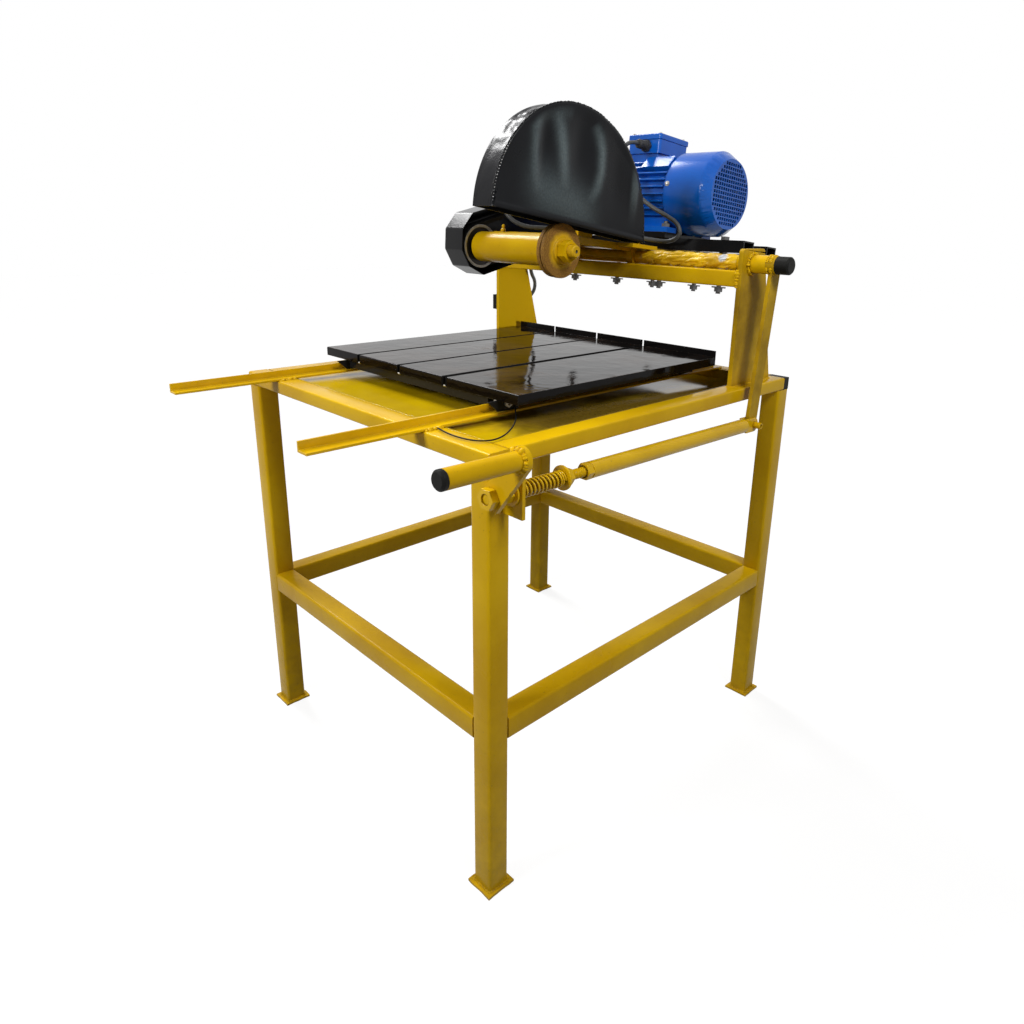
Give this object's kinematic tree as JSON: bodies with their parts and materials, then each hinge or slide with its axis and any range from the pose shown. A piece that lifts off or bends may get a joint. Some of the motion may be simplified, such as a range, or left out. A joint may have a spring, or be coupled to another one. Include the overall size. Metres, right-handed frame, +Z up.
{
  "type": "mosaic cutting saw",
  "caption": "Steel stand with a rolling table, water pan and a belt-driven saw head under a guard, lowered by a hand crank through a screw, spring and lever.",
  "frame": {"origin": "middle of the object's outline, on the floor", "axes": "X to the operator's right, Y to the back, Z up"},
  "size_m": [0.883, 1.1476, 1.259],
  "materials": {
    "yellow_paint": "hand-sprayed yellow enamel over mill steel, worn bright at handled edges",
    "black_paint": "glossy black enamel on sheet steel",
    "table_black": "high-gloss black enamel on sheet steel, faintly scuffed",
    "blue_motor": "blue enamel on cast aluminium",
    "blue_steel": "blue enamel on pressed sheet steel",
    "bare_steel": "turned or plated steel with light rust",
    "pulley_metal": "machined grey cast iron",
    "black_plastic": "moulded black plastic",
    "fan_plastic": "moulded dark plastic",
    "yellow_film": "crumpled paint-covered film",
    "belt_rubber": "black belt rubber",
    "cable_sheath": "black cable sheath"
  },
  "bodies": {
    "frame": {"legs_with_feet": "yellow_paint", "stretchers": "yellow_paint", "top_rails": "yellow_paint", "rail_plugs": "black_plastic", "uprights": "yellow_paint", "axle_bosses": "yellow_paint", "cross_beam": "yellow_paint", "track_rails": "yellow_paint", "water_pan": "yellow_paint", "screw_bracket": "yellow_paint", "rod_spring": "yellow_paint", "switch_box": "black_plastic", "switch_cable": "cable_sheath"},
    "rocker": {"switch_rocker": "black_plastic"},
    "tray": {"tray_strips": "table_black", "tray_frame": "black_paint", "roller_brackets": "black_paint", "roller_bolts": "bare_steel", "tie_wire": "cable_sheath"},
    "roller_fl": {"roller_front_left": "bare_steel"},
    "roller_fr": {"roller_front_right": "bare_steel"},
    "roller_rl": {"roller_rear_left": "bare_steel"},
    "roller_rr": {"roller_rear_right": "bare_steel"},
    "head": {"pivot_axle": "yellow_paint", "axle_caps": "black_plastic", "axle_wrap": "yellow_film", "lever_arm": "yellow_paint", "head_plate": "yellow_paint", "head_brackets": "yellow_paint", "spindle_housing": "yellow_paint", "spindle_bearings": "bare_steel", "grease_nipple": "bare_steel", "blade_guard": "black_paint", "guard_bolts": "bare_steel", "belt_cover": "black_paint", "drive_belts": "belt_rubber", "slide_bars": "black_paint", "motor_base": "black_paint", "motor_studs": "bare_steel", "motor_body": "blue_motor", "fan_cover": "blue_steel", "terminal_box": "blue_motor", "terminal_lid": "blue_motor", "cable_gland": "black_plastic", "motor_cable": "cable_sheath"},
    "spindle": {"spindle_shaft": "bare_steel", "outer_flange": "yellow_paint", "spindle_nut": "yellow_paint", "driven_pulley": "pulley_metal"},
    "rotor": {"motor_shaft": "bare_steel", "drive_pulley": "pulley_metal", "cooling_fan": "fan_plastic"},
    "push_rod": {"push_rod": "yellow_paint", "rod_pin": "yellow_paint"},
    "crank": {"crank_screw": "yellow_paint", "screw_washers": "yellow_paint", "screw_nuts": "yellow_paint", "crank_web": "yellow_paint", "grip_tube": "yellow_paint", "grip_cap": "black_plastic"}
  },
  "joints": [
    {"name": "tray_slide", "type": "slide", "parent": "frame", "child": "tray", "axis": [0, 1, 0], "range_m": [-0.345, 0.1]},
    {"name": "crank_spin", "type": "hinge", "parent": "frame", "child": "crank", "pos_m": [0.3725, -0.36277, 0.702], "axis": [0, 0.9998, -0.0193], "range_deg": [-4230, 470]},
    {"name": "head_tilt", "type": "hinge", "parent": "frame", "child": "head", "pos_m": [-0.0155, 0.28283, 0.9895], "axis": [1, 0, 0], "range_deg": [-1, 9]},
    {"name": "push_rod_pivot", "type": "hinge", "parent": "head", "child": "push_rod", "pos_m": [0.3725, 0.26023, 0.69], "axis": [1, 0, 0], "range_deg": [-9, 1]},
    {"name": "spindle_spin", "type": "hinge", "parent": "head", "child": "spindle", "pos_m": [-0.0155, 0.02626, 1.00503], "axis": [1, 0, 0], "continuous": true},
    {"name": "rotor_spin", "type": "hinge", "parent": "head", "child": "rotor", "pos_m": [-0.0155, 0.4803, 1.12233], "axis": [1, 0, 0], "continuous": true},
    {"name": "switch_flip", "type": "hinge", "parent": "frame", "child": "rocker", "pos_m": [-0.3815, 0.28723, 0.86], "axis": [0, 1, 0], "range_deg": [-10, 10]},
    {"name": "roller_fl_roll", "type": "hinge", "parent": "tray", "child": "roller_fl", "pos_m": [-0.267, -0.22577, 0.7763], "axis": [1, 0, 0], "continuous": true},
    {"name": "roller_fr_roll", "type": "hinge", "parent": "tray", "child": "roller_fr", "pos_m": [0.196, -0.22577, 0.7763], "axis": [1, 0, 0], "continuous": true},
    {"name": "roller_rl_roll", "type": "hinge", "parent": "tray", "child": "roller_rl", "pos_m": [-0.267, 0.26923, 0.7763], "axis": [1, 0, 0], "continuous": true},
    {"name": "roller_rr_roll", "type": "hinge", "parent": "tray", "child": "roller_rr", "pos_m": [0.196, 0.26923, 0.7763], "axis": [1, 0, 0], "continuous": true}
  ],
  "couplings": [
    {"joint": "head_tilt", "follows": "crank_spin", "ratio": -0.0021229},
    {"joint": "push_rod_pivot", "follows": "crank_spin", "ratio": 0.0021102},
    {"joint": "rotor_spin", "follows": "spindle_spin", "ratio": 0.87},
    {"joint": "roller_fl_roll", "follows": "tray_slide", "rad_per_m": -66.667},
    {"joint": "roller_fr_roll", "follows": "tray_slide", "rad_per_m": -66.667},
    {"joint": "roller_rl_roll", "follows": "tray_slide", "rad_per_m": -66.667},
    {"joint": "roller_rr_roll", "follows": "tray_slide", "rad_per_m": -66.667}
  ]
}
